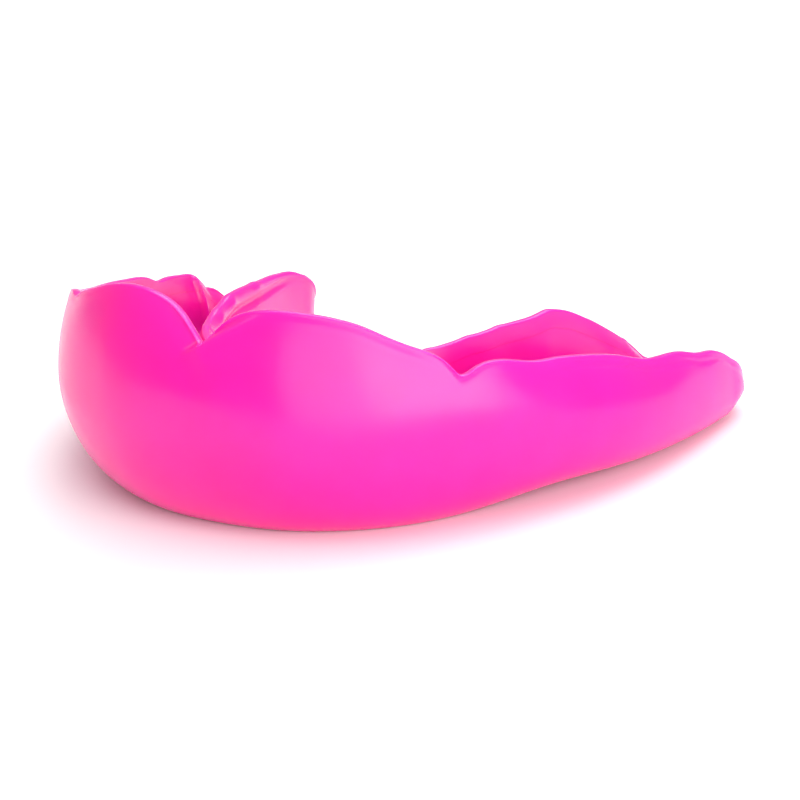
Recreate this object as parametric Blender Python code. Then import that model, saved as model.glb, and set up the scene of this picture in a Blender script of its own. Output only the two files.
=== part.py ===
"""Upper-jaw mouthguard for martial arts: an outer EVA layer, an inner EVA liner and a hard front insert.

The guard is laid out in millimetres in the bite frame: X runs across the jaw, the front teeth are at -Y and
Z points towards the gums, with the trough for the teeth open upwards. It is then tilted on to its underside,
as it rests on a table, with the origin at the middle of its footprint.
"""

import bpy
import bmesh
import numpy as np

MM = 0.001

# Driving dimensions, in millimetres.
ARCH_LENGTH = 39.0          # midline of the bite, from the front teeth to the last molars
ARCH_WIDTH = 49.2           # between the last molars, middle to middle
RIM_RADIUS = 0.75           # half the thickness of the rolled rim
LAYER_SPLIT = 0.45          # share of the wall that belongs to the outer layer
GAP = 0.3                   # clearance between two laminated pieces
LEDGE_DEPTH = 1.5           # the liner stops this far below the rim's roll
LEDGE_SHARE = 0.45          # and never lower than this share of the trough's depth
INSERT_THICKNESS = 0.7
INSERT_HALF_LENGTH = 17.0   # along the arch, from the midline to the canine
INSERT_LEVELS = (0.42, 0.80)    # bottom and top edge of the insert, as shares of the wall's profile
POCKET_EDGE = 1.6           # width of the slope round the pocket of the insert, along the arch
POCKET_EDGE_LEVEL = 0.10    # the same slope, up the wall's profile
REST_TILT = np.radians(7.5)     # the back of the guard comes down by this angle when it rests
REST_TRIM = 0.4             # how much of the underside is flattened where it rests

# Mesh density.
STATIONS = 61               # ribs along each side of the arch
CLOSE_RIBS = [(-49.0, 3.0), (-14.5, 2.5), (1.4, 4.0), (19.3, 3.0), (49.0, 3.0)]   # place and reach
CLOSE_RIB_GAIN = 1.2
FAN_STEPS = 8               # steps round each rounded back end
WALL_LEVELS = 10            # points up each wall face
RIM_STEPS = 4               # steps over the rolled rim
FINE_LEVELS = 121           # samples up a wall face where a level has to be looked up
ARCH_SAMPLES = 2001         # samples along the midline
INSERT_ROWS = 6             # points up each face of the insert
WELD = 1e-6                 # metres; joins the ribs where they meet on the midline
WIDEST_LEVEL = 0.6          # level of the profile at which the wall is widest

# Midline of the bite, as shares of ARCH_WIDTH / 2 and ARCH_LENGTH, from the front to the last molar.
ARCH_SHAPE = [
    (0.0, -0.5), (0.285, -0.477), (0.528, -0.39), (0.715, -0.246),
    (0.846, -0.056), (0.935, 0.154), (0.988, 0.359), (1.0, 0.5),
]

# Section tables: distance from the front midline along the arch, then a size, all in millimetres.
OUTER_RIM_OFFSET = [(0, 4.6), (8, 5.0), (15, 5.6), (25, 6.2), (35, 6.4), (51.4, 5.8)]
INNER_RIM_OFFSET = [(0, 8.3), (10, 7.2), (20, 6.4), (40, 6.4), (51.4, 5.6)]
OUTER_SWELL = [(0, 3.3), (10, 2.2), (20, 1.7), (35, 2.4), (51.4, 0.9)]      # widest point, beyond the rim
INNER_SWELL = [(0, -1.3), (10, -0.4), (20, 1.2), (35, 1.4), (51.4, 1.2)]
UNDERSIDE_HEIGHT = [(0, 0.6), (10, 0.85), (20, 1.65), (30, 3.7), (40, 4.6), (51.4, 5.7)]
WIDEST_HEIGHT = [(0, 13.6), (10, 11.6), (20, 13.0), (30, 10.9), (40, 9.5), (51.4, 9.6)]
UNDERSIDE_SQUARENESS = [(0, 1.8), (20, 1.85), (35, 2.4), (51.4, 3.0)]
FLOOR_THICKNESS = [(0, 3.8), (20, 3.4), (40, 3.2), (47, 2.7), (51.4, 2.0)]
TROUGH_SQUARENESS = [(0, 1.4), (15, 1.6), (28, 2.6), (51.4, 2.8)]
OUTER_WALL = [(0, 3.5), (20, 3.2), (35, 2.8), (51.4, 2.6)]
INNER_WALL = [(0, 2.8), (20, 2.4), (51.4, 2.3)]

# Where the back ends are low, the widest point stays below this share of the height up to the rim.
WIDEST_SHARE_OUTSIDE = 0.66
WIDEST_SHARE_TROUGH = 0.6

# Rim heights by signed distance along the arch: negative is the wearer's right.
OUTER_RIM_HEIGHT = [
    (-51.4, 12.6), (-48.9, 14.7), (-47, 15.0), (-45, 15.2), (-42.8, 15.2), (-40.5, 16.0),
    (-36, 16.6), (-25, 17.9), (-17, 19.9), (-12, 21.15), (-6.8, 22.65), (0.5, 22.0), (7.5, 21.95),
    (12, 20.95), (16, 18.85), (19.65, 18.15), (22, 17.55), (25.4, 16.65), (28, 16.65), (34, 15.9),
    (38, 14.9), (43, 14.7), (45.6, 14.1), (48, 13.8), (51.4, 12.2),
]
INNER_RIM_HEIGHT = [
    (-51.4, 15.5), (-46, 16.45), (-40, 16.6), (-33, 16.6), (-25, 15.4), (-12, 14.6), (0, 14.0),
    (12, 14.6), (24, 15.95), (33, 16.95), (36.5, 17.15), (39, 17.45), (41, 17.25), (44.6, 16.05),
    (49.4, 13.85), (51.4, 12.7),
]

# Round each back end the rim comes down to a lowest height. The dip gives the turn from the outer side, in
# degrees, and the share of the way down. The wearer's right is -1.
BACK_RIM_HEIGHT = {1: 10.0, -1: 10.6}
BACK_DIP = {
    1: [(0, 0), (17, 0.25), (40, 0.7), (90, 1), (141, 0.85), (152, 0.69), (163, 0.38), (180, 0)],
    -1: [(0, 0), (17, 0.32), (28, 0.63), (45, 0.88), (80, 1), (129, 0.61), (152, 0.28), (165, 0.1), (180, 0)],
}
BACK_SQUARENESS = 1.45      # of the underside, round the back ends

# Notches in the outer rim that clear the frenums: position, depth, and width towards - and towards +.
NOTCHES = [(1.35, 3.35, 1.9, 1.5), (19.25, 2.15, 0.9, 1.2), (-14.5, 1.1, 1.2, 1.2)]
NOTCH_BLUNTNESS = 0.25      # radius of the bottom of a notch, as a share of its width

# Beside the front notch the wall bends: one lip outwards and the other inwards.
FOLD_STEP = 0.6
FOLD_REACH = 1.4
FOLD_DROP = 3.0


def smooth_curve(knots, at):
    """Cubic curve through a few knots, read at the given positions; the first column is the position."""
    knots = np.asarray(knots, float)
    position, value = knots[:, 0], knots[:, 1:]
    step = np.diff(position)[:, None]
    slope = np.diff(value, axis=0) / step
    tangent = np.empty_like(value)
    tangent[0], tangent[-1] = slope[0], slope[-1]
    tangent[1:-1] = (slope[:-1] * step[1:] + slope[1:] * step[:-1]) / (step[1:] + step[:-1])
    at = np.clip(at, position[0], position[-1])
    span = np.clip(np.searchsorted(position, at, side="right") - 1, 0, len(step) - 1)
    width = step[span]
    share = (at - position[span])[..., None] / width
    rise = share * share * (3 - 2 * share)
    leave = share * (1 - share) ** 2
    arrive = -share * share * (1 - share)
    ends = (1 - rise) * value[span] + rise * value[span + 1]
    return ends + width * (leave * tangent[span] + arrive * tangent[span + 1])


def read(table, at):
    return smooth_curve(table, at)[..., 0]


def read_even(table, at):
    """A table that is the same on both sides of the midline, level where it crosses it."""
    mirrored = [(-position, value) for position, value in table[:0:-1]]
    return read(mirrored + table, at)


def arch_midline():
    """Arc length and points of the midline of the bite, zero length at the front."""
    half = [(x * ARCH_WIDTH / 2, y * ARCH_LENGTH) for x, y in ARCH_SHAPE]
    points = np.array([(-x, y) for x, y in half[:0:-1]] + half)
    chord = np.concatenate([[0], np.cumsum(np.linalg.norm(np.diff(points, axis=0), axis=1))])
    fine = smooth_curve(np.column_stack([chord, points]), np.linspace(0, chord[-1], ARCH_SAMPLES))
    length = np.concatenate([[0], np.cumsum(np.linalg.norm(np.diff(fine, axis=0), axis=1))])
    return length - length[-1] / 2, fine


ARCH_AT, ARCH_POINTS = arch_midline()
HALF_ARCH = ARCH_AT[-1]


def midline_point(at):
    return np.column_stack([np.interp(at, ARCH_AT, ARCH_POINTS[:, k]) for k in (0, 1)])


def bump(at, place, reach):
    return np.exp(-(((at - place) / reach) ** 2))


def loop_stations():
    """One closed loop of ribs: the outer side, round one back end, the inner side, round the other back end.

    Each rib has its place along the arch, its turn from the outward direction, and the back end it fans from.
    """
    fine = np.linspace(-HALF_ARCH, HALF_ARCH, ARCH_SAMPLES)
    density = 1 + sum(CLOSE_RIB_GAIN * bump(fine, place, reach) for place, reach in CLOSE_RIBS)
    total = np.concatenate([[0], np.cumsum(density[1:] + density[:-1])])
    along = np.interp(np.linspace(0, total[-1], STATIONS), total, fine)
    turns = np.pi * np.arange(1, FAN_STEPS) / FAN_STEPS
    ribs = [(at, 0.0, 0) for at in along]
    ribs += [(HALF_ARCH, turn, 1) for turn in turns]
    ribs += [(at, np.pi, 0) for at in along[::-1]]
    ribs += [(-HALF_ARCH, turn, -1) for turn in turns[::-1]]
    return np.array(ribs)


RIBS = loop_stations()
AT, TURN, END = RIBS.T
INWARD = (1 - np.cos(TURN)) / 2


def rib_directions():
    """Unit vectors in plan, one for each rib, pointing away from the midline."""
    reach = 0.5
    forward = midline_point(AT + reach) - midline_point(AT - reach)
    forward /= np.linalg.norm(forward, axis=1, keepdims=True)
    outward = np.column_stack([forward[:, 1], -forward[:, 0]])
    return outward * np.cos(TURN)[:, None] + forward * (np.sin(TURN) * END)[:, None]


def by_side(outer, inner):
    """A size on every rib, blended from the outer table to the inner one round the back ends."""
    return (1 - INWARD) * read_even(outer, AT) + INWARD * read_even(inner, AT)


def notch_depth(at):
    depth = np.zeros_like(at)
    for place, deep, wide_before, wide_after in NOTCHES:
        wide = np.where(at < place, wide_before, wide_after)
        blunt = NOTCH_BLUNTNESS * wide
        depth += deep * np.exp(-(np.hypot(at - place, blunt) - blunt) / wide)
    return depth


def uncut_rim_height():
    """Height of the rim on every rib, before the notches are cut."""
    height = (1 - INWARD) * read(OUTER_RIM_HEIGHT, AT) + INWARD * read(INNER_RIM_HEIGHT, AT)
    for end in (1, -1):
        dip = np.where(END == end, read(BACK_DIP[end], np.degrees(TURN)), 0)
        height += dip * (BACK_RIM_HEIGHT[end] - height)
    return height


UNCUT_HEIGHT = uncut_rim_height()
RIM_HEIGHT = UNCUT_HEIGHT - notch_depth(AT) * (1 - INWARD)
UNCUT_OFFSET = by_side(OUTER_RIM_OFFSET, INNER_RIM_OFFSET)
WIDEST_OFFSET = UNCUT_OFFSET + by_side(OUTER_SWELL, INNER_SWELL)


def wall_profile(bottom, widest, widest_height, top, top_height, squareness, levels, kept=1.0):
    """Offset and height on every rib: a rounded corner up to the widest point, then a leaning wall.

    Only the kept share of the leaning wall is there: a notch cuts the rest away.
    """
    bottom, widest, widest_height, top, top_height, squareness, kept = (
        np.broadcast_to(size, AT.shape)[:, None]
        for size in (bottom, widest, widest_height, top, top_height, squareness, kept)
    )
    corner = np.clip(levels / WIDEST_LEVEL, 0, 1) * np.pi / 2
    lean = kept * np.clip((levels - WIDEST_LEVEL) / (1 - WIDEST_LEVEL), 0, 1)
    offset = widest * np.sin(corner) ** (2 / squareness) + (top - widest) * lean ** 2
    height = widest_height - (widest_height - bottom) * np.cos(corner).clip(0) ** (2 / squareness)
    return np.stack([offset, height + (top_height - widest_height) * lean], axis=-1)


def outside_profile(levels):
    bottom = read_even(UNDERSIDE_HEIGHT, AT)
    base = UNCUT_HEIGHT - RIM_RADIUS
    widest_height = np.minimum(read_even(WIDEST_HEIGHT, AT), bottom + WIDEST_SHARE_OUTSIDE * (base - bottom))
    kept = (RIM_HEIGHT - RIM_RADIUS - widest_height) / (base - widest_height)
    squareness = read_even(UNDERSIDE_SQUARENESS, AT)
    squareness += np.where(END != 0, 2 * np.sin(TURN), 0).clip(0, 1) * (BACK_SQUARENESS - squareness)
    top = UNCUT_OFFSET + RIM_RADIUS
    return wall_profile(bottom, WIDEST_OFFSET, widest_height, top, base, squareness, levels, kept)


RIM_OFFSET = outside_profile(np.array([1.0]))[:, 0, 0] - RIM_RADIUS


def trough_profile(levels):
    floor = read_even(UNDERSIDE_HEIGHT, AT) + read_even(FLOOR_THICKNESS, AT)
    base = RIM_HEIGHT - RIM_RADIUS
    widest_height = np.minimum(read_even(WIDEST_HEIGHT, AT), floor + WIDEST_SHARE_TROUGH * (base - floor))
    widest = WIDEST_OFFSET - by_side(OUTER_WALL, INNER_WALL)
    squareness = read_even(TROUGH_SQUARENESS, AT)
    return wall_profile(floor, widest, widest_height, RIM_OFFSET - RIM_RADIUS, base, squareness, levels)


def rim_roll():
    """The half-round rim, from the outside face over to the trough face."""
    turn = np.pi * np.arange(1, RIM_STEPS) / RIM_STEPS
    offset = RIM_OFFSET[:, None] + RIM_RADIUS * np.cos(turn)
    height = (RIM_HEIGHT - RIM_RADIUS)[:, None] + RIM_RADIUS * np.sin(turn)
    return np.stack([offset, height], axis=-1)


def pocket(levels, margin):
    """1 over the front insert, fading to 0 over the pocket's edge; the margin widens it."""
    front = (TURN == 0)[:, None]
    along = (INSERT_HALF_LENGTH + margin * POCKET_EDGE - np.abs(AT)) / POCKET_EDGE
    low, high = INSERT_LEVELS
    up = np.minimum(levels - low, high - levels) / POCKET_EDGE_LEVEL + margin
    return np.clip(along, 0, 1)[:, None] * np.clip(up, 0, 1) * front


def between(levels, share, shift):
    """A face inside the wall: a share of the way from outside to trough, then a distance along that way."""
    outside, trough = outside_profile(levels), trough_profile(levels)
    way = trough - outside
    thickness = np.linalg.norm(way, axis=-1, keepdims=True)
    return outside + way * share + way / thickness * shift[..., None]


def half_gap(levels):
    """Half the space between the two layers, wider where the insert sits."""
    return GAP / 2 + (INSERT_THICKNESS + GAP) / 2 * pocket(levels, 1.0)


def ledge_level(clearance):
    """Level of the trough face, on every rib, that lies under the shell's ledge by the clearance."""
    levels = np.linspace(0, 1, FINE_LEVELS)
    height = trough_profile(levels)[..., 1]
    floor, base = height[:, 0], height[:, -1]
    wanted = base - np.minimum(LEDGE_DEPTH, LEDGE_SHARE * (base - floor)) - clearance
    return np.array([np.interp(want, rise, levels) for want, rise in zip(wanted, height)])


def rise_to(profile_of, top, count):
    """A face sampled at levels that end at a different top on every rib."""
    fine = np.linspace(0, 1, FINE_LEVELS)
    profile = profile_of(fine)
    wanted = top[:, None] * np.linspace(0, 1, count)
    return np.stack(
        [[np.interp(want, fine, face[:, k]) for want, face in zip(wanted, profile)] for k in (0, 1)], axis=-1
    )


def fold_bend(profile):
    """How far the wall bends out beside the front notch, so that one lip passes in front of the other."""
    across = (AT - NOTCHES[0][0])[:, None] / FOLD_REACH
    drop = RIM_HEIGHT[:, None] - profile[..., 1]
    fade = np.exp(-((drop / FOLD_DROP) ** 2)) * (1 - INWARD)[:, None]
    return FOLD_STEP * across * np.exp((1 - across ** 2) / 2) * fade


def in_space(profile):
    """Points in the bite frame from offsets and heights on every rib."""
    profile = profile + np.stack([fold_bend(profile), np.zeros(profile.shape[:2])], axis=-1)
    centre, direction = midline_point(AT), rib_directions()
    plan = centre[:, None, :] + direction[:, None, :] * profile[..., :1]
    return np.concatenate([plan, profile[..., 1:]], axis=-1)


def at_rest(points):
    """The bite frame tilted down on to the underside."""
    x, y, z = np.moveaxis(points, -1, 0)
    cos, sin = np.cos(REST_TILT), np.sin(REST_TILT)
    return np.stack([x, y * cos + z * sin, z * cos - y * sin], axis=-1)


def footprint():
    """Middle of the outside in plan, and the height of the surface that it rests on."""
    outside = at_rest(in_space(outside_profile(np.linspace(0, 1, FINE_LEVELS))))
    low, high = outside.min(axis=(0, 1)), outside.max(axis=(0, 1))
    return np.array([(low[0] + high[0]) / 2, (low[1] + high[1]) / 2, low[2] + REST_TRIM])


FOOTPRINT = footprint()


def placed(profile):
    """Points in metres in the part's own frame, flattened where they would go below the table."""
    points = at_rest(in_space(profile)) - FOOTPRINT
    points[..., 2] = points[..., 2].clip(0)
    return points * MM


def material(name, colour, roughness, subsurface):
    made = bpy.data.materials.new(name)
    made.use_nodes = True
    shader = made.node_tree.nodes["Principled BSDF"]
    shader.inputs["Base Color"].default_value = (*colour, 1)
    shader.inputs["Roughness"].default_value = roughness
    shader.inputs["Metallic"].default_value = 0.0
    shader.inputs["Subsurface Weight"].default_value = subsurface
    return made


def add_object(name, mesh_data, look):
    mesh = bpy.data.meshes.new(name)
    bmesh.ops.remove_doubles(mesh_data, verts=mesh_data.verts, dist=WELD)
    bmesh.ops.dissolve_degenerate(mesh_data, edges=mesh_data.edges, dist=WELD)
    bmesh.ops.recalc_face_normals(mesh_data, faces=mesh_data.faces)
    mesh_data.to_mesh(mesh)
    mesh_data.free()
    mesh.materials.append(look)
    mesh.shade_smooth()
    bpy.context.scene.collection.objects.link(bpy.data.objects.new(name, mesh))


def skinned(rows, closed_loop, closed_section):
    """Quads between neighbouring rows of points."""
    mesh_data = bmesh.new()
    verts = [[mesh_data.verts.new(point) for point in row] for row in rows]
    count, levels = len(verts), len(verts[0])
    for i in range(count if closed_loop else count - 1):
        here, there = verts[i], verts[(i + 1) % count]
        for j in range(levels if closed_section else levels - 1):
            k = (j + 1) % levels
            mesh_data.faces.new((here[j], there[j], there[k], here[k]))
    if not closed_loop:
        mesh_data.faces.new(verts[0])
        mesh_data.faces.new(verts[-1][::-1])
    return mesh_data


def make_outer_shell(look):
    """The outer layer: the outside face, the rolled rim, and the face that the liner is bonded to."""
    levels = np.linspace(0, 1, WALL_LEVELS)
    ledge = ledge_level(0.0)

    def bonded_face(at_levels):
        return between(at_levels, LAYER_SPLIT, -half_gap(at_levels))

    section = np.concatenate(
        [
            outside_profile(levels),
            rim_roll(),
            trough_profile(np.array([1.0])),
            rise_to(trough_profile, ledge, 2)[:, 1:],
            rise_to(bonded_face, ledge, WALL_LEVELS)[:, ::-1],
        ],
        axis=1,
    )
    add_object("outer_shell", skinned(placed(section), True, False), look)


def make_inner_liner(look):
    """The inner layer, which takes the teeth: it stops below the rim, on the shell's ledge."""
    top = ledge_level(GAP)

    def bonded_face(at_levels):
        return between(at_levels, LAYER_SPLIT, half_gap(at_levels))

    section = np.concatenate(
        [rise_to(bonded_face, top, WALL_LEVELS), rise_to(trough_profile, top, WALL_LEVELS)[:, ::-1]], axis=1
    )
    add_object("inner_liner", skinned(placed(section), True, False), look)


def make_front_insert(look):
    """The hard strip between the layers, in front of the incisors and canines."""
    front = np.flatnonzero((TURN == 0) & (END == 0) & (np.abs(AT) < INSERT_HALF_LENGTH))
    levels = np.linspace(*INSERT_LEVELS, INSERT_ROWS)
    half = np.full((len(AT), len(levels)), INSERT_THICKNESS / 2)
    section = np.concatenate(
        [between(levels, LAYER_SPLIT, -half), between(levels, LAYER_SPLIT, half)[:, ::-1]], axis=1
    )
    add_object("front_insert", skinned(placed(section)[front], False, True), look)


def main():
    for obj in list(bpy.data.objects):
        bpy.data.objects.remove(obj)
    make_outer_shell(material("outer_eva", (0.95, 0.03, 0.40), 0.35, 0.2))
    make_inner_liner(material("liner_eva", (0.85, 0.02, 0.33), 0.45, 0.2))
    make_front_insert(material("insert_plastic", (0.85, 0.80, 0.82), 0.4, 0.0))


main()
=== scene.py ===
"""Looks of the mouthguard: fine meshes and materials of its three bonded pieces, a floor and light.

The pieces are laid out in millimetres in the bite frame, as the guard is worn: X runs across the
jaw, the front teeth are at -Y, and Z points towards the gums. The bite frame is then tilted on to
the guard's underside and moved so that the fine surface fills the box of the CAD shell.

Known faults: the meshes of the bonded faces cross in places, by about 0.04 mm at the deepest point
found, and the liner's mesh is open along the middle of the trough's floor at the front.
"""

import math

import bpy
import bmesh
import mathutils
import numpy as np
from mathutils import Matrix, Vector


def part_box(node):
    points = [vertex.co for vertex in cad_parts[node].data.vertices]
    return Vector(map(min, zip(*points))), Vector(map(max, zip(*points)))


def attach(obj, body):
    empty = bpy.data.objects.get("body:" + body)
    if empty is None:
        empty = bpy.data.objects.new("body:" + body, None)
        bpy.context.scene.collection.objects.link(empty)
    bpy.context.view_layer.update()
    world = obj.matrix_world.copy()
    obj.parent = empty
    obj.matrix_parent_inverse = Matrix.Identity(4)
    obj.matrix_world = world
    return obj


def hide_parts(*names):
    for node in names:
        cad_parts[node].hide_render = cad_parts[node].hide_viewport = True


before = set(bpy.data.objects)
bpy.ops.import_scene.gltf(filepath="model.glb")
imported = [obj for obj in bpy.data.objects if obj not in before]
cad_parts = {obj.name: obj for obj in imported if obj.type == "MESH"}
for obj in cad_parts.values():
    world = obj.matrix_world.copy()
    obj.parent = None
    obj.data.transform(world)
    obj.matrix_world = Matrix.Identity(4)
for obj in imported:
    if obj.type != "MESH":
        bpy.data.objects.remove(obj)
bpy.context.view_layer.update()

MM = 0.001

# Driving dimensions, in millimetres.
ARCH_LENGTH = 39.0          # midline of the bite, from the front teeth to the last molars
ARCH_WIDTH = 49.2           # between the last molars, middle to middle
LAYER_SPLIT = 0.45          # share of the wall that belongs to the outer layer
BOND = 0.012                # gap meant between two bonded faces
LEDGE_DEPTH = 1.5           # the liner stops this far below the rim's roll
LEDGE_SHARE = 0.45          # and never lower than this share of the trough's depth
INSERT_THICKNESS = 0.7
INSERT_HALF_LENGTH = 17.0   # along the arch, from the midline to the canine
INSERT_LEVELS = (0.42, 0.80)    # bottom and top edge of the insert, as shares of the wall's profile
POCKET_EDGE = 1.6           # width of the slope round the pocket of the insert, along the arch
POCKET_EDGE_LEVEL = 0.10    # the same slope, up the wall's profile
REST_TILT = math.radians(7.5)   # the back of the guard comes down by this angle when it rests
REST_TRIM = 0.4             # how much of the underside is flattened where it rests

# Mesh density.
STATIONS = 321              # ribs along each side of the arch
CLOSE_RIBS = [              # where the ribs stand closer: place and reach
    (-48.5, 1.2), (-42.8, 1.5), (-14.5, 1.5), (1.2, 2.0), (19.2, 2.2), (48.5, 1.2),
]
CLOSE_RIB_GAIN = 3.0
FAN_STEPS = 32              # steps round each rounded back end
OUTSIDE_LEVELS = 76
RIM_STEPS = 12
TROUGH_LEVELS = 80
HIDDEN_LEVELS = 24          # the faces that are bonded together
LIP_LEVELS = 12             # the shell's lip, from the rim's roll down to its ledge
INSERT_ROWS = 24
LEVEL_CROWDING = 1.35       # above 1, the levels crowd towards the rim
WIDEST_LEVEL = 0.6          # level of the profile at which the wall is widest
BOX_LEVELS = 201            # levels of the plain outside that are measured to place the guard
LEDGE_SAMPLES = 401
SHARP_ANGLE = math.radians(50)      # edges sharper than this are shaded as edges
MERGE_DISTANCE = 1e-7       # metres

# Midline of the bite, as shares of ARCH_WIDTH / 2 and ARCH_LENGTH, from the front to the last molar.
ARCH_SHAPE = [
    (0.0, -0.5), (0.285, -0.477), (0.528, -0.39), (0.715, -0.246),
    (0.846, -0.056), (0.935, 0.154), (0.988, 0.359), (1.0, 0.5),
]
ARCH_SAMPLES = 2001

# Section tables: distance from the front midline along the arch, then a size, all in millimetres.
RIM_RADIUS = [(0, 0.42), (12, 0.42), (22, 0.38), (51.4, 0.45)]     # half the thickness of the rim
RIM_RISE = 0.6              # height of the rim's roll, as a share of its radius
RIM_SQUARENESS = 2.6        # of that roll: 2 is elliptical
OUTER_RIM_OFFSET = [(0, 4.6), (8, 5.0), (15, 5.6), (25, 6.2), (35, 6.4), (45, 6.2), (51.4, 6.2)]
INNER_RIM_OFFSET = [(0, 8.3), (10, 7.2), (20, 6.4), (40, 6.4), (51.4, 5.85)]
OUTER_SWELL = [(0, 3.3), (10, 2.2), (20, 1.7), (35, 2.4), (51.4, 0.7)]      # widest point, beyond the rim
INNER_SWELL = [(0, -1.3), (10, -0.4), (20, 1.2), (35, 1.4), (45, 0.9), (51.4, 0.3)]
UNDERSIDE_HEIGHT = [(0, 0.6), (10, 0.85), (20, 1.65), (30, 3.7), (40, 4.6), (51.4, 5.7)]
WIDEST_HEIGHT = [(0, 13.6), (10, 11.2), (20, 11.6), (30, 10.4), (40, 9.5), (51.4, 9.6)]
UNDERSIDE_SQUARENESS = [(0, 1.8), (20, 1.85), (35, 2.4), (51.4, 3.0)]
FLOOR_THICKNESS = [(0, 3.8), (20, 3.4), (40, 3.2), (47, 2.7), (51.4, 2.0)]
TROUGH_SQUARENESS = [(0, 1.4), (15, 1.6), (28, 2.6), (51.4, 2.8)]
OUTER_WALL = [(0, 3.5), (20, 3.2), (35, 2.8), (51.4, 2.6)]
INNER_WALL = [(0, 2.8), (20, 2.4), (51.4, 2.3)]
WIDEST_SHARE_OUTSIDE = 0.66
WIDEST_SHARE_TROUGH = 0.6

# Rim heights by signed distance along the arch: negative is the wearer's right.
OUTER_RIM_HEIGHT = [
    (-51.4, 12.9), (-48.9, 14.7), (-47, 15.0), (-45, 15.2), (-42.8, 15.2), (-40.5, 16.0),
    (-36, 16.6), (-25, 17.9), (-17, 19.9), (-12, 21.15), (-6.8, 22.65), (0.5, 22.0), (7.5, 21.95),
    (12, 20.95), (16, 18.85), (19.65, 18.15), (22, 17.55), (25.4, 16.65), (28, 16.65), (34, 15.9),
    (38, 14.9), (43, 14.7), (45.6, 14.1), (48, 13.85), (50, 13.15), (51.4, 12.45),
]
INNER_RIM_HEIGHT = [
    (-51.4, 15.4), (-49.5, 16.05), (-46, 16.4), (-40, 16.55), (-33, 16.6), (-25, 15.4),
    (-12, 14.6), (0, 14.0), (12, 14.6), (24, 15.95), (33, 16.95), (36.5, 17.15), (39, 17.45),
    (41, 17.25), (44.6, 16.05), (49.4, 14.0), (51.4, 12.95),
]

# Round each back end the rim comes down to a lowest height: the turn from the outer side, in degrees, and
# the share of the way down. The wearer's right is -1.
BACK_RIM_HEIGHT = {1: 10.0, -1: 10.6}
BACK_DIP = {
    1: [
        (0, 0), (8, 0.17), (17, 0.42), (28, 0.70), (36, 0.84), (50, 0.95), (90, 1),
        (141, 0.87), (152, 0.72), (163, 0.40), (180, 0),
    ],
    -1: [
        (0, 0), (8, 0.06), (17, 0.26), (28, 0.67), (45, 0.93), (80, 1),
        (129, 0.70), (152, 0.37), (165, 0.165), (180, 0),
    ],
}
BACK_SQUARENESS = 1.45      # of the underside, all the way round the back ends

# Notches in the outer rim that clear the frenums: position, depth, width towards - and towards +, and the
# radius of the bottom as a share of the width.
NOTCHES = [(1.35, 3.35, 1.9, 1.5, 0.25), (19.0, 1.95, 0.85, 1.4, 0.5), (-14.5, 0.6, 1.0, 1.2, 0.4)]

# Relief of the shell's outside, in millimetres: depths and reaches of shallow forms below the rim's crest.
LIP_GROOVE = [(0, 0.0), (24, 0.0), (30, 0.05), (51.4, 0.05)]      # depth along the arch
LIP_GROOVE_DROP = 0.8       # below the crest
LIP_GROOVE_REACH = 0.25
VALLEYS = [                 # place, depth, reach, drop
    (0.5, 0.15, 2.8, 4.0), (19.3, 0.12, 2.2, 1.6), (-14.5, 0.1, 2.0, 2.0),
]

# The lip on the + side of the front notch passes in front of the other one, and its edge runs on
# a little way down the wall, towards -.
FOLD_OUT = 0.45             # how far the front lip stands out
FOLD_IN = 0.45              # how far the other one stands in
FOLD_SLANT = math.radians(37)
FOLD_EDGE = 0.16            # half the width of the step between them
FOLD_REACH_OUT = (2.2, 5.0, 1.2)    # of the front lip: away from the edge, up along it, and down along it
FOLD_REACH_IN = (1.8, 3.0, 1.2)

FLARES = [(19.6, 0.42, 2.2, 0.5)]      # where the rim curls outwards: place, amount, reach, drop
# The crease on the tongue side, the band above it, and the small pads along that band.
GUM_LINE_DROP = [(0, 1.7), (27, 1.75), (36, 1.6), (46, 0.95), (51.4, 0.55)]
GUM_LINE_DEPTH = [(0, 0.28), (40, 0.32), (46, 0.2), (50, 0.0), (51.4, 0.0)]
GUM_LINE_REACH = 0.42
BAND_SWELL = 0.12
BAND_MIDDLE = 0.5           # as a share of the way from the crest to the crease
BAND_REACH = 0.4            # the same
BAND_PADS = [22.0, 27.5, 31.8, 39.0]
BAND_PAD_SWELL = 0.14
BAND_PAD_REACH = 0.9
BAND_PAD_RISE = 0.1         # how far they lift the crest

# Impressions of the teeth in the trough: distances along the arch of the edges between the teeth.
TOOTH_EDGES = [0.0, 8.9, 15.9, 23.7, 30.9, 37.8, 48.5]
TOOTH_RIDGE_OUTSIDE = 0.3
TOOTH_RIDGE_INSIDE = 0.1
TOOTH_RIDGE_REACH = 1.2
TOOTH_HOLLOW = (0.18, 0.08) # how far each tooth presses into the outer and the inner wall at its middle
LAST_RIDGE = (48.5, 0.65, 0.2)       # the sharp ridge that climbs to the rim: place, height and reach
TOOTH_HOLLOW_REACH = 0.3    # as a share of the tooth's length
TROUGH_WALL = (2.0, 2.5)    # from the midline: where the wall's relief starts, and how soon it is full
TOOTH_TOP = (1.0, 2.0)      # the same, down from the crest
LAST_RIDGE_TOP = 0.8        # the sharp ridge starts at the crest itself, and is full this far down
CUSP_WELLS = [              # place along the arch, distance outwards, depth, reach along and across
    (4.4, 0.6, 0.5, 3.0, 0.9), (12.4, 0.6, 0.5, 2.4, 0.9), (19.8, 1.0, 0.8, 1.7, 1.4),
    (27.3, 2.5, 0.7, 1.6, 1.3), (27.3, -2.3, 0.6, 1.5, 1.3), (34.3, 2.5, 0.7, 1.6, 1.3),
    (34.3, -2.3, 0.6, 1.5, 1.3), (40.6, 2.8, 0.7, 1.5, 1.3), (45.6, 2.8, 0.7, 1.5, 1.3),
    (40.8, -2.7, 0.7, 1.6, 1.3), (45.6, -2.6, 0.55, 1.4, 1.3),
]

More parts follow.
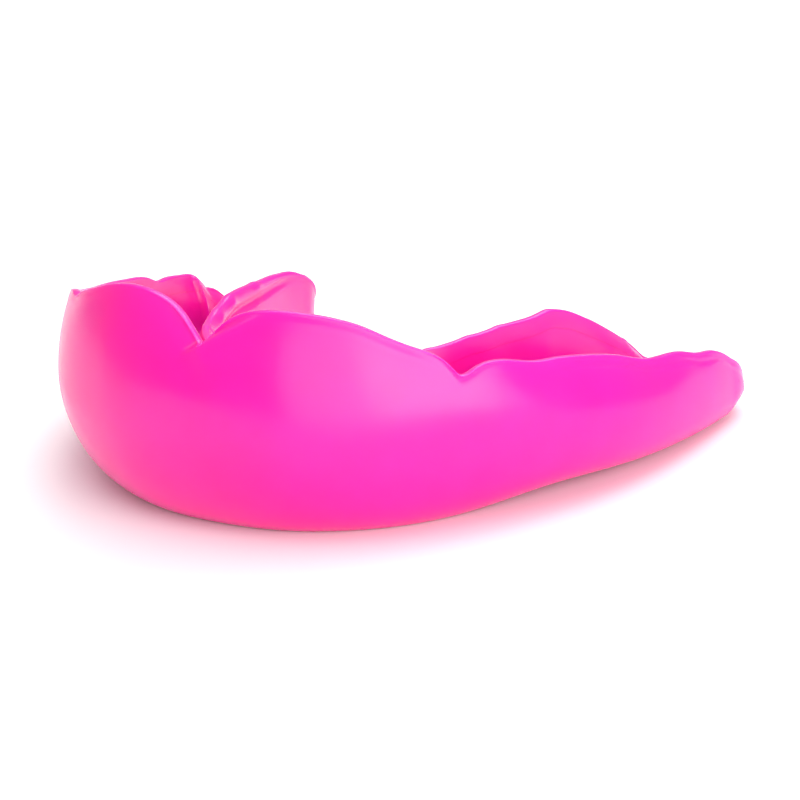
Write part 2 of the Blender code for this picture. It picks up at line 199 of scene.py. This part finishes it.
# Where painted light comes into the colour, in millimetres: the painted glow of light through the thin
# rim fades below the rim's crest, and the liner's darker pink, painted shade deep in the trough, comes in
# below the liner's top edge.
PAINTED_LIGHT_SHARE = "painted_light_share"   # the attribute that carries it
PAINTED_GLOW_REACH = 1.1
TROUGH_SHADE_FADE = 3.2


def smooth_curve(knots, at):
    """Cubic curve through a few knots, read at the given positions; the first column is the position."""
    knots = np.asarray(knots, float)
    position, value = knots[:, 0], knots[:, 1:]
    step = np.diff(position)[:, None]
    slope = np.diff(value, axis=0) / step
    tangent = np.empty_like(value)
    tangent[0], tangent[-1] = slope[0], slope[-1]
    tangent[1:-1] = (slope[:-1] * step[1:] + slope[1:] * step[:-1]) / (step[1:] + step[:-1])
    at = np.clip(at, position[0], position[-1])
    span = np.clip(np.searchsorted(position, at, side="right") - 1, 0, len(step) - 1)
    width = step[span]
    share = (at - position[span])[..., None] / width
    rise = share * share * (3 - 2 * share)
    leave = share * (1 - share) ** 2
    arrive = -share * share * (1 - share)
    ends = (1 - rise) * value[span] + rise * value[span + 1]
    return ends + width * (leave * tangent[span] + arrive * tangent[span + 1])


def read(table, at):
    return smooth_curve(table, at)[..., 0]


def read_even(table, at):
    """A table that is the same on both sides of the midline, level where it crosses it."""
    mirrored = [(-position, value) for position, value in table[:0:-1]]
    return read(mirrored + table, at)


def arch_midline():
    """Arc length and points of the midline of the bite, zero length at the front."""
    half = [(x * ARCH_WIDTH / 2, y * ARCH_LENGTH) for x, y in ARCH_SHAPE]
    points = np.array([(-x, y) for x, y in half[:0:-1]] + half)
    chord = np.concatenate([[0], np.cumsum(np.linalg.norm(np.diff(points, axis=0), axis=1))])
    fine = smooth_curve(np.column_stack([chord, points]), np.linspace(0, chord[-1], ARCH_SAMPLES))
    length = np.concatenate([[0], np.cumsum(np.linalg.norm(np.diff(fine, axis=0), axis=1))])
    return length - length[-1] / 2, fine


ARCH_AT, ARCH_POINTS = arch_midline()
HALF_ARCH = ARCH_AT[-1]


def midline_point(at):
    return np.column_stack([np.interp(at, ARCH_AT, ARCH_POINTS[:, k]) for k in (0, 1)])


def bump(at, place, reach):
    return np.exp(-(((at - place) / reach) ** 2))


def loop_stations():
    """One closed loop of ribs: the outer side, a fan round one back end, the inner side, a fan back.

    Each rib has its place along the arch, its turn from the outward direction, and the back end it
    fans from, which is 0 on the two sides.
    """
    fine = np.linspace(-HALF_ARCH, HALF_ARCH, ARCH_SAMPLES)
    density = 1 + sum(CLOSE_RIB_GAIN * bump(fine, place, reach) for place, reach in CLOSE_RIBS)
    total = np.concatenate([[0], np.cumsum(density[1:] + density[:-1])])
    along = np.interp(np.linspace(0, total[-1], STATIONS), total, fine)
    turns = np.pi * np.arange(1, FAN_STEPS) / FAN_STEPS
    ribs = [(at, 0.0, 0) for at in along]
    ribs += [(HALF_ARCH, turn, 1) for turn in turns]
    ribs += [(at, np.pi, 0) for at in along[::-1]]
    ribs += [(-HALF_ARCH, turn, -1) for turn in turns[::-1]]
    return np.array(ribs)


RIBS = loop_stations()
AT, TURN, END = RIBS.T
INWARD = (1 - np.cos(TURN)) / 2


def rib_directions():
    """Unit vectors in plan, one for each rib, pointing away from the midline."""
    step = 0.5
    forward = midline_point(AT + step) - midline_point(AT - step)
    forward /= np.linalg.norm(forward, axis=1, keepdims=True)
    outward = np.column_stack([forward[:, 1], -forward[:, 0]])
    return outward * np.cos(TURN)[:, None] + forward * (np.sin(TURN) * END)[:, None]


def by_side(outer, inner):
    """A size on every rib, blended from the outer table to the inner one round the back ends."""
    return (1 - INWARD) * read_even(outer, AT) + INWARD * read_even(inner, AT)


def notch_depth(at):
    depth = np.zeros_like(at)
    for place, deep, wide_before, wide_after, bluntness in NOTCHES:
        wide = np.where(at < place, wide_before, wide_after)
        blunt = bluntness * wide
        depth += deep * np.exp(-(np.hypot(at - place, blunt) - blunt) / wide)
    return depth


def uncut_rim_height():
    """Height of the rim on every rib, before the notches are cut."""
    height = (1 - INWARD) * read(OUTER_RIM_HEIGHT, AT) + INWARD * read(INNER_RIM_HEIGHT, AT)
    for end in (1, -1):
        dip = np.where(END == end, read(BACK_DIP[end], np.degrees(TURN)), 0)
        height += dip * (BACK_RIM_HEIGHT[end] - height)
    pads = sum(bump(np.abs(AT), place, BAND_PAD_REACH) for place in BAND_PADS)
    return height + BAND_PAD_RISE * pads * (TURN == np.pi)


UNCUT_HEIGHT = uncut_rim_height()
RIM_HEIGHT = UNCUT_HEIGHT - notch_depth(AT) * (1 - INWARD)
RIM_HALF = read_even(RIM_RADIUS, AT)
RIM_BASE = RIM_HEIGHT - RIM_RISE * RIM_HALF
UNCUT_OFFSET = by_side(OUTER_RIM_OFFSET, INNER_RIM_OFFSET)
WIDEST_OFFSET = UNCUT_OFFSET + by_side(OUTER_SWELL, INNER_SWELL)


def wall_profile(bottom, widest, widest_height, top, top_height, squareness, levels, kept=1.0):
    """Offset and height on every rib: a rounded corner up to the widest point, then a leaning wall.

    Only the kept share of the leaning wall is there: a notch cuts the rest away.
    """
    bottom, widest, widest_height, top, top_height, squareness, kept = (
        np.broadcast_to(size, AT.shape)[:, None]
        for size in (bottom, widest, widest_height, top, top_height, squareness, kept)
    )
    corner = np.clip(levels / WIDEST_LEVEL, 0, 1) * np.pi / 2
    lean = kept * np.clip((levels - WIDEST_LEVEL) / (1 - WIDEST_LEVEL), 0, 1)
    offset = widest * np.sin(corner) ** (2 / squareness) + (top - widest) * lean ** 2
    height = widest_height - (widest_height - bottom) * np.cos(corner).clip(0) ** (2 / squareness)
    return np.stack([offset, height + (top_height - widest_height) * lean], axis=-1)


def outside_profile(levels):
    bottom = read_even(UNDERSIDE_HEIGHT, AT)
    base = UNCUT_HEIGHT - RIM_RISE * RIM_HALF
    highest = bottom + WIDEST_SHARE_OUTSIDE * (base - bottom)
    widest_height = np.minimum(read_even(WIDEST_HEIGHT, AT), highest)
    kept = (RIM_BASE - widest_height) / (base - widest_height)
    squareness = read_even(UNDERSIDE_SQUARENESS, AT)
    squareness += np.where(END != 0, np.sin(TURN) * 2, 0).clip(0, 1) * (BACK_SQUARENESS - squareness)
    top = UNCUT_OFFSET + RIM_HALF
    return wall_profile(bottom, WIDEST_OFFSET, widest_height, top, base, squareness, levels, kept)


RIM_OFFSET = outside_profile(np.array([1.0]))[:, 0, 0] - RIM_HALF


def trough_profile(levels):
    floor = read_even(UNDERSIDE_HEIGHT, AT) + read_even(FLOOR_THICKNESS, AT)
    highest = floor + WIDEST_SHARE_TROUGH * (RIM_BASE - floor)
    widest_height = np.minimum(read_even(WIDEST_HEIGHT, AT), highest)
    widest = WIDEST_OFFSET - by_side(OUTER_WALL, INNER_WALL)
    squareness = read_even(TROUGH_SQUARENESS, AT)
    return wall_profile(floor, widest, widest_height, RIM_OFFSET - RIM_HALF, RIM_BASE, squareness, levels)


def rim_roll():
    """The rounded rim, from the outside face over to the trough face."""
    turn = np.pi * np.arange(1, RIM_STEPS) / RIM_STEPS
    across = np.sign(np.cos(turn)) * np.abs(np.cos(turn)) ** (2 / RIM_SQUARENESS)
    up = np.sin(turn) ** (2 / RIM_SQUARENESS)
    offset = RIM_OFFSET[:, None] + RIM_HALF[:, None] * across
    height = RIM_BASE[:, None] + RIM_RISE * RIM_HALF[:, None] * up
    return np.stack([offset, height], axis=-1)


def pocket(levels, margin):
    """1 over the front insert, fading to 0 over the pocket's edge; the margin widens it."""
    front = (TURN == 0)[:, None]
    along = (INSERT_HALF_LENGTH + margin * POCKET_EDGE - np.abs(AT)) / POCKET_EDGE
    low, high = INSERT_LEVELS
    up = np.minimum(levels - low, high - levels) / POCKET_EDGE_LEVEL + margin
    return np.clip(along, 0, 1)[:, None] * np.clip(up, 0, 1) * front


def between(levels, share, shift):
    """A face inside the wall: a share of the way from outside to trough, and a shift along that way."""
    outside, trough = outside_profile(levels), trough_profile(levels)
    way = trough - outside
    thickness = np.linalg.norm(way, axis=-1, keepdims=True)
    return outside + way * share + way / thickness * shift[..., None]


def half_gap(levels):
    """Half the space between the two layers, wider where the insert sits."""
    return BOND / 2 + (INSERT_THICKNESS + BOND) / 2 * pocket(levels, 1.0)


def ledge_level(clearance):
    """Level of the trough face, on every rib, that lies under the shell's ledge by the clearance."""
    levels = np.linspace(0, 1, LEDGE_SAMPLES)
    height = trough_profile(levels)[..., 1]
    floor, base = height[:, 0], height[:, -1]
    wanted = base - np.minimum(LEDGE_DEPTH, LEDGE_SHARE * (base - floor)) - clearance
    return np.array([np.interp(want, rise, levels) for want, rise in zip(wanted, height)])


def drop_below_rim(profile):
    return RIM_HEIGHT[:, None] - profile[..., 1]


def outside_relief(profile):
    """How far the outside stands proud of its plain profile."""
    drop, at = drop_below_rim(profile), AT[:, None]
    relief = -read_even(LIP_GROOVE, AT)[:, None] * bump(drop, LIP_GROOVE_DROP, LIP_GROOVE_REACH)
    for place, depth, reach, fade in VALLEYS:
        relief -= depth * bump(at, place, reach) * np.exp(-((drop / fade) ** 2))
    line, crease = (read_even(table, AT)[:, None] for table in (GUM_LINE_DROP, GUM_LINE_DEPTH))
    pads = BAND_SWELL + BAND_PAD_SWELL * sum(bump(np.abs(at), place, BAND_PAD_REACH) for place in BAND_PADS)
    swell = pads * bump(drop, line * BAND_MIDDLE, line * BAND_REACH)
    band = swell - crease * bump(drop, line, GUM_LINE_REACH)
    inward = INWARD[:, None]
    return (1 - inward) * relief + inward * band


def trough_relief(profile):
    """How far the trough face stands proud: ridges between teeth, hollows at teeth, wells for cusps."""
    drop, at = drop_below_rim(profile), np.abs(AT)[:, None]
    offset = profile[..., 0]
    outward = offset * np.cos(TURN)[:, None]
    near_wall = np.clip((offset - TROUGH_WALL[0]) / TROUGH_WALL[1], 0, 1)
    wall = near_wall * np.clip((drop - TOOTH_TOP[0]) / TOOTH_TOP[1], 0, 1)
    height = np.where(outward > 0, TOOTH_RIDGE_OUTSIDE, TOOTH_RIDGE_INSIDE)
    hollow = np.where(outward > 0, *TOOTH_HOLLOW)
    relief = 0
    for edge in TOOTH_EDGES:
        relief = relief + height * bump(at, edge, TOOTH_RIDGE_REACH) * wall
    for start, end in zip(TOOTH_EDGES[:-1], TOOTH_EDGES[1:]):
        relief -= hollow * bump(at, (start + end) / 2, (end - start) * TOOTH_HOLLOW_REACH) * wall
    place, rise, reach = LAST_RIDGE
    outer = (1 - INWARD)[:, None]
    relief += rise * bump(at, place, reach) * outer * near_wall * np.clip(drop / LAST_RIDGE_TOP, 0, 1)
    for along, across, depth, reach_along, reach_across in CUSP_WELLS:
        relief -= depth * bump(at, along, reach_along) * bump(outward, across, reach_across)
    return relief


def raised(profile_of, relief_of, levels, side):
    """A profile with its relief: each point moves across the profile's own line. The outside has side 1."""
    plain = profile_of(levels)
    step = 1e-3
    line = profile_of(np.clip(levels + step, 0, 1)) - profile_of(np.clip(levels - step, 0, 1))
    line /= np.linalg.norm(line, axis=-1, keepdims=True)
    across = side * np.stack([line[..., 1], -line[..., 0]], axis=-1)
    return plain + relief_of(plain)[..., None] * across


def outside_face(levels):
    return raised(outside_profile, outside_relief, levels, 1)


def trough_face(levels):
    return raised(trough_profile, trough_relief, levels, -1)


def fading(across, along, reach):
    """1 at the bottom of the fold, fading across its edge and, at two rates, up and down along it."""
    sideways, upwards, downwards = reach
    return np.exp(-((across / sideways) ** 2) - (along / np.where(along > 0, upwards, downwards)) ** 2)


def wall_bend(profile):
    """How far the outer wall bends outwards: the fold under the front notch, and the flares of the rim."""
    place = NOTCHES[0][0]
    outer = TURN == 0
    aside = (AT - place)[:, None]
    rise = profile[..., 1] - np.interp(place, AT[outer], RIM_HEIGHT[outer])
    cos, sin = math.cos(FOLD_SLANT), math.sin(FOLD_SLANT)
    across, along = aside * sin - rise * cos, aside * cos + rise * sin
    front = (1 + np.tanh(across / FOLD_EDGE)) / 2
    bend = front * FOLD_OUT * fading(across, along, FOLD_REACH_OUT)
    bend -= (1 - front) * FOLD_IN * fading(across, along, FOLD_REACH_IN)
    for place, amount, reach, fade in FLARES:
        bend += amount * bump(AT, place, reach)[:, None] * np.exp(-((drop_below_rim(profile) / fade) ** 2))
    return bend * (1 - INWARD)[:, None]


def in_space(profile):
    """Points in the bite frame from offsets and heights on every rib."""
    profile = profile + np.stack([wall_bend(profile), np.zeros(profile.shape[:2])], axis=-1)
    centre, direction = midline_point(AT), rib_directions()
    plan = centre[:, None, :] + direction[:, None, :] * profile[..., :1]
    return np.concatenate([plan, profile[..., 1:]], axis=-1)


def at_rest(points):
    """The bite frame tilted down on to the underside."""
    x, y, z = np.moveaxis(np.asarray(points, float), -1, 0)
    cos, sin = math.cos(REST_TILT), math.sin(REST_TILT)
    return np.stack([x, y * cos + z * sin, z * cos - y * sin], axis=-1)


def rest_origin():
    """Where the row frame's origin lies in the tilted bite frame: the guard fills the CAD shell's box."""
    outside = at_rest(in_space(outside_profile(np.linspace(0, 1, BOX_LEVELS))))
    low, high = outside.min(axis=(0, 1)), outside.max(axis=(0, 1))
    cad_low, cad_high = (np.array(corner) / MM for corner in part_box("outer_shell"))
    middle = (low + high) / 2 - (cad_low + cad_high) / 2
    return np.array([middle[0], middle[1], low[2] + REST_TRIM])


REST_ORIGIN = rest_origin()


def placed(profile):
    """Points in metres in the row frame, flattened where they would go below the table."""
    points = at_rest(in_space(profile)) - REST_ORIGIN
    points[..., 2] = points[..., 2].clip(0)
    return points * MM


def fade_below(profile, start, reach):
    """1 down to a start below the crest of the rim, then a fade towards 0."""
    return np.exp(-np.clip(drop_below_rim(profile) - start, 0, None) / reach)


def make_piece(name, rows, painted_light_share, closed_loop, closed_section, look, node):
    """A closed mesh of quads between neighbouring rows of points, which stands for a CAD node.

    Each point also keeps its share of the second colour of its material: on the shell a painted glow
    of light through its thin rim, on the liner the shell's pink over the liner's painted shade.
    """
    count, levels = rows.shape[:2]
    index = np.arange(count * levels).reshape(count, levels)
    here = index if closed_loop else index[:-1]
    there = np.roll(index, -1, axis=0) if closed_loop else index[1:]
    if closed_section:
        here, there = (np.column_stack([side, side[:, 0]]) for side in (here, there))
    quads = np.stack([here[:, :-1], there[:, :-1], there[:, 1:], here[:, 1:]], axis=-1).reshape(-1, 4)
    faces = quads.tolist()
    if not closed_loop:
        faces += [index[0].tolist(), index[-1][::-1].tolist()]
    mesh = bpy.data.meshes.new(name)
    mesh.from_pydata(rows.reshape(-1, 3).tolist(), [], faces)
    shares = mesh.attributes.new(PAINTED_LIGHT_SHARE, "FLOAT", "POINT")
    shares.data.foreach_set("value", painted_light_share.ravel().astype(np.float32))
    work = bmesh.new()
    work.from_mesh(mesh)
    bmesh.ops.remove_doubles(work, verts=work.verts, dist=MERGE_DISTANCE)
    bmesh.ops.dissolve_degenerate(work, edges=work.edges, dist=MERGE_DISTANCE)
    bmesh.ops.recalc_face_normals(work, faces=work.faces)
    work.to_mesh(mesh)
    work.free()
    mesh.materials.append(look)
    mesh.shade_smooth()
    mesh.set_sharp_from_angle(angle=SHARP_ANGLE)
    piece = bpy.data.objects.new(name, mesh)
    bpy.context.scene.collection.objects.link(piece)
    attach(piece, "root")
    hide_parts(node)


def dense_at_top(count):
    return 1 - (1 - np.linspace(0, 1, count)) ** LEVEL_CROWDING


def up_to(top, count):
    """Levels that end at a different top on every rib."""
    return top[:, None] * dense_at_top(count)


def make_shell(look):
    levels = dense_at_top(OUTSIDE_LEVELS)
    ledge = ledge_level(0.0)
    lip = ledge[:, None] + (1 - ledge[:, None]) * np.linspace(1, 0, LIP_LEVELS)
    hidden = up_to(ledge, HIDDEN_LEVELS)
    bonded = between(hidden, LAYER_SPLIT, -half_gap(hidden))
    section = np.concatenate(
        [outside_face(levels), rim_roll(), trough_face(lip), bonded[:, ::-1]], axis=1
    )
    # Painted glow: a paler pink for light shining through the shell's thin rim, fading below the crest.
    painted_glow = fade_below(section, 0, PAINTED_GLOW_REACH)
    make_piece("outer_shell_eva", placed(section), painted_glow, True, False, look, "outer_shell")


def make_liner(look):
    top = ledge_level(BOND)
    hidden = up_to(top, HIDDEN_LEVELS)
    seen = up_to(top, TROUGH_LEVELS)
    bonded = between(hidden, LAYER_SPLIT, half_gap(hidden))
    section = np.concatenate([bonded, trough_face(seen)[:, ::-1]], axis=1)
    # 1 at the liner's top edge, where it takes the shell's pink; deeper in the trough this fades into the
    # liner's darker pink, which is painted shade.
    painted_shade_fade = fade_below(section, LEDGE_DEPTH, TROUGH_SHADE_FADE)
    make_piece("inner_liner_eva", placed(section), painted_shade_fade, True, False, look, "inner_liner")


def make_insert(look):
    front = np.flatnonzero((TURN == 0) & (END == 0) & (np.abs(AT) < INSERT_HALF_LENGTH))
    levels = np.linspace(*INSERT_LEVELS, INSERT_ROWS)
    half = np.full((len(AT), len(levels)), INSERT_THICKNESS / 2)
    section = np.concatenate(
        [between(levels, LAYER_SPLIT, -half), between(levels, LAYER_SPLIT, half)[:, ::-1]], axis=1
    )
    rows, painted_glow = placed(section)[front], fade_below(section, 0, PAINTED_GLOW_REACH)[front]
    make_piece("front_insert_strip", rows, painted_glow, False, True, look, "front_insert")


# Materials.

NOISE_SPREAD = (0.3, 0.7)   # where nearly all of a noise's values lie
CLOUDS = (110, 3)           # noise scale, per metre, and detail
SPECKS = (1400, 2)
SPECK_STRENGTH = 0.04
SKIN_NOISE = (420, 4)
SKIN_SPREAD = (-0.015, 0.025)       # of the roughness
RIPPLE_NOISE = (300, 2)
RIPPLE_STRENGTH = 0.3
RIPPLE_DEPTH = 0.00002      # metres


def noise(nodes, links, place, kind):
    scale, detail = kind
    made = nodes.new("ShaderNodeTexNoise")
    made.inputs["Scale"].default_value = scale
    made.inputs["Detail"].default_value = detail
    links.new(place, made.inputs["Vector"])
    return made.outputs["Fac"]


def ranged(nodes, links, value, low, high):
    """A noise value spread over a range."""
    made = nodes.new("ShaderNodeMapRange")
    made.inputs["From Min"].default_value, made.inputs["From Max"].default_value = NOISE_SPREAD
    made.inputs["To Min"].default_value = low
    made.inputs["To Max"].default_value = high
    links.new(value, made.inputs["Value"])
    return made.outputs["Result"]


def mixed(nodes, links, share, first, second):
    """A colour between two others, each given as a colour or as a socket."""
    made = nodes.new("ShaderNodeMix")
    made.data_type = "RGBA"
    links.new(share, made.inputs["Factor"])
    for socket, colour in (("A", first), ("B", second)):
        entry = next(entry for entry in made.inputs if entry.name == socket and entry.type == "RGBA")
        if isinstance(colour, tuple):
            entry.default_value = (*colour, 1)
        else:
            links.new(colour, entry)
    return next(entry for entry in made.outputs if entry.type == "RGBA")


def times(nodes, links, value, factor):
    made = nodes.new("ShaderNodeMath")
    made.operation = "MULTIPLY"
    made.inputs[1].default_value = factor
    links.new(value, made.inputs[0])
    return made.outputs[0]


def eva_material(name, colour, cloud, second, second_share, roughness, subsurface):
    """Moulded EVA: clouds in the colour, a second colour of painted light, a faintly uneven satin skin.

    The cloud is the colour of the denser places. On the shell the second colour is a painted glow,
    the paler pink of light shining through the thin rim. On the liner it is the shell's own pink at
    the top edge, over the liner's darker colour, which is painted shade deep in the trough.
    is thin, and is the shell's own colour at the top of the liner.
    """
    made = bpy.data.materials.new(name)
    made.use_nodes = True
    nodes, links = made.node_tree.nodes, made.node_tree.links
    shader = nodes["Principled BSDF"]
    place = nodes.new("ShaderNodeTexCoord").outputs["Object"]
    clouds = ranged(nodes, links, noise(nodes, links, place, CLOUDS), 0, 1)
    specks = ranged(nodes, links, noise(nodes, links, place, SPECKS), 0, SPECK_STRENGTH)
    painted_light_node = nodes.new("ShaderNodeAttribute")
    painted_light_node.attribute_name = PAINTED_LIGHT_SHARE
    body = mixed(nodes, links, clouds, colour, cloud)
    body = mixed(nodes, links, specks, body, cloud)
    # The second colour paints light: a glow on the shell's thin rim; on the liner, the shell's pink over
    # its painted trough shade.
    body = mixed(nodes, links, times(nodes, links, painted_light_node.outputs["Fac"], second_share), body, second)
    links.new(body, shader.inputs["Base Color"])
    low, high = (roughness + change for change in SKIN_SPREAD)
    skin = ranged(nodes, links, noise(nodes, links, place, SKIN_NOISE), low, high)
    links.new(skin, shader.inputs["Roughness"])
    ripple = nodes.new("ShaderNodeBump")
    ripple.inputs["Strength"].default_value = RIPPLE_STRENGTH
    ripple.inputs["Distance"].default_value = RIPPLE_DEPTH
    links.new(noise(nodes, links, place, RIPPLE_NOISE), ripple.inputs["Height"])
    links.new(ripple.outputs["Normal"], shader.inputs["Normal"])
    shader.inputs["Specular IOR Level"].default_value = 0.36
    shader.inputs["Sheen Weight"].default_value = 0.03
    shader.inputs["Sheen Roughness"].default_value = 0.4
    shader.inputs["Sheen Tint"].default_value = (1.0, 0.75, 0.9, 1)
    shader.inputs["Subsurface Weight"].default_value = subsurface
    shader.inputs["Subsurface Radius"].default_value = (1.0, 0.25, 0.5)
    shader.inputs["Subsurface Scale"].default_value = 0.003
    return made


# Stage, light and camera.

CAMERA_AZIMUTH = math.radians(32.5)     # in the bite frame, from -Y towards +X
CAMERA_ELEVATION = math.radians(13.0)
CAMERA_DISTANCE = 300.0
CAMERA_TARGET = (5.8, 0.0, 9.0)
FIELD_WIDTH = 75.6                      # width of the view at the target
SENSOR_WIDTH = 36.0
CLIP_START = 0.01                       # metres
FLOOR_HALF_WIDTH = 2.0                  # metres
FLOOR_ALBEDO = 0.82
WORLD_RADIANCE = 0.35
SOFTBOXES = [       # name, azimuth, elevation, distance, width, height, radiance
    ("key_wide", 49, 19, 0.6, 0.83, 0.42, 3.1),
    ("key_core", 67, 17, 0.6, 0.62, 0.30, 2.8),
    ("fill_right", 125, 25, 0.7, 0.6, 0.6, 0.12),
    ("top", 0, 90, 0.6, 0.8, 0.8, 1.8),
    ("back", 180, 52, 0.6, 0.6, 0.35, 3.8),
]


def unit_vector(azimuth, elevation):
    """A direction, with its azimuth from -Y towards +X. Both angles are in radians."""
    level = math.cos(elevation)
    return math.sin(azimuth) * level, -math.cos(azimuth) * level, math.sin(elevation)


def add_camera():
    back = np.array(unit_vector(CAMERA_AZIMUTH, CAMERA_ELEVATION))
    right = np.array([math.cos(CAMERA_AZIMUTH), math.sin(CAMERA_AZIMUTH), 0])
    up = np.cross(back, right)
    place = (at_rest(np.array(CAMERA_TARGET) + CAMERA_DISTANCE * back) - REST_ORIGIN) * MM
    columns = [at_rest(axis) for axis in (right, up, back)]
    turn = mathutils.Matrix([list(row) for row in zip(*columns)]).to_4x4()
    data = bpy.data.cameras.new("view_camera")
    data.sensor_width = SENSOR_WIDTH
    data.lens = SENSOR_WIDTH * CAMERA_DISTANCE / FIELD_WIDTH
    data.clip_start = CLIP_START
    camera = bpy.data.objects.new("view_camera", data)
    bpy.context.scene.collection.objects.link(camera)
    camera.matrix_world = mathutils.Matrix.Translation(place) @ turn
    bpy.context.scene.camera = camera


def add_floor():
    mesh = bpy.data.meshes.new("floor")
    half = FLOOR_HALF_WIDTH
    corners = [(-half, -half, 0), (half, -half, 0), (half, half, 0), (-half, half, 0)]
    mesh.from_pydata(corners, [], [(0, 1, 2, 3)])
    floor = bpy.data.objects.new("floor", mesh)
    bpy.context.scene.collection.objects.link(floor)
    look = bpy.data.materials.new("floor_white")
    look.use_nodes = True
    shader = look.node_tree.nodes["Principled BSDF"]
    shader.inputs["Base Color"].default_value = (FLOOR_ALBEDO, FLOOR_ALBEDO, FLOOR_ALBEDO, 1)
    shader.inputs["Roughness"].default_value = 0.8
    shader.inputs["Specular IOR Level"].default_value = 0.0
    mesh.materials.append(look)


def add_softbox(name, azimuth, elevation, distance, width, height, radiance):
    """An area light that looks at the guard. Angles are in degrees, sizes in metres."""
    way = mathutils.Vector(unit_vector(math.radians(azimuth), math.radians(elevation)))
    data = bpy.data.lights.new(name, "AREA")
    data.shape = "RECTANGLE"
    data.size, data.size_y = width, height
    data.energy = radiance * math.pi * width * height
    light = bpy.data.objects.new(name, data)
    light.location = way * distance
    light.rotation_euler = (-way).to_track_quat("-Z", "Y").to_euler()
    bpy.context.scene.collection.objects.link(light)


def add_light():
    world = bpy.data.worlds.new("studio")
    world.use_nodes = True
    background = world.node_tree.nodes["Background"]
    background.inputs["Color"].default_value = (1, 1, 1, 1)
    background.inputs["Strength"].default_value = WORLD_RADIANCE
    bpy.context.scene.world = world
    for softbox in SOFTBOXES:
        add_softbox(*softbox)


def main():
    pink, deep_pink, painted_glow_pink = (0.95, 0.006, 0.30), (0.90, 0.004, 0.265), (0.98, 0.03, 0.42)
    painted_shade_pink, painted_shade_cloud_pink = (0.58, 0.008, 0.34), (0.52, 0.006, 0.31)
    clear, clear_cloud, clear_edge = (0.85, 0.8, 0.82), (0.8, 0.72, 0.76), (0.88, 0.84, 0.86)
    # The shell's pale pink is a painted glow: light shining through its thin rim.
    make_shell(eva_material("outer_eva_look", pink, deep_pink, painted_glow_pink, 0.22, 0.23, 0.25))
    # The liner's two darker pinks are painted shade deep in the trough; the shell's pink takes over near
    # the liner's top edge.
    make_liner(eva_material("liner_eva_look", painted_shade_pink, painted_shade_cloud_pink, pink, 1.0, 0.24, 0.25))
    make_insert(eva_material("insert_look", clear, clear_cloud, clear_edge, 0.0, 0.4, 0.3))
    add_camera()
    add_floor()
    add_light()
    bpy.context.scene.view_settings.view_transform = "Standard"


main()
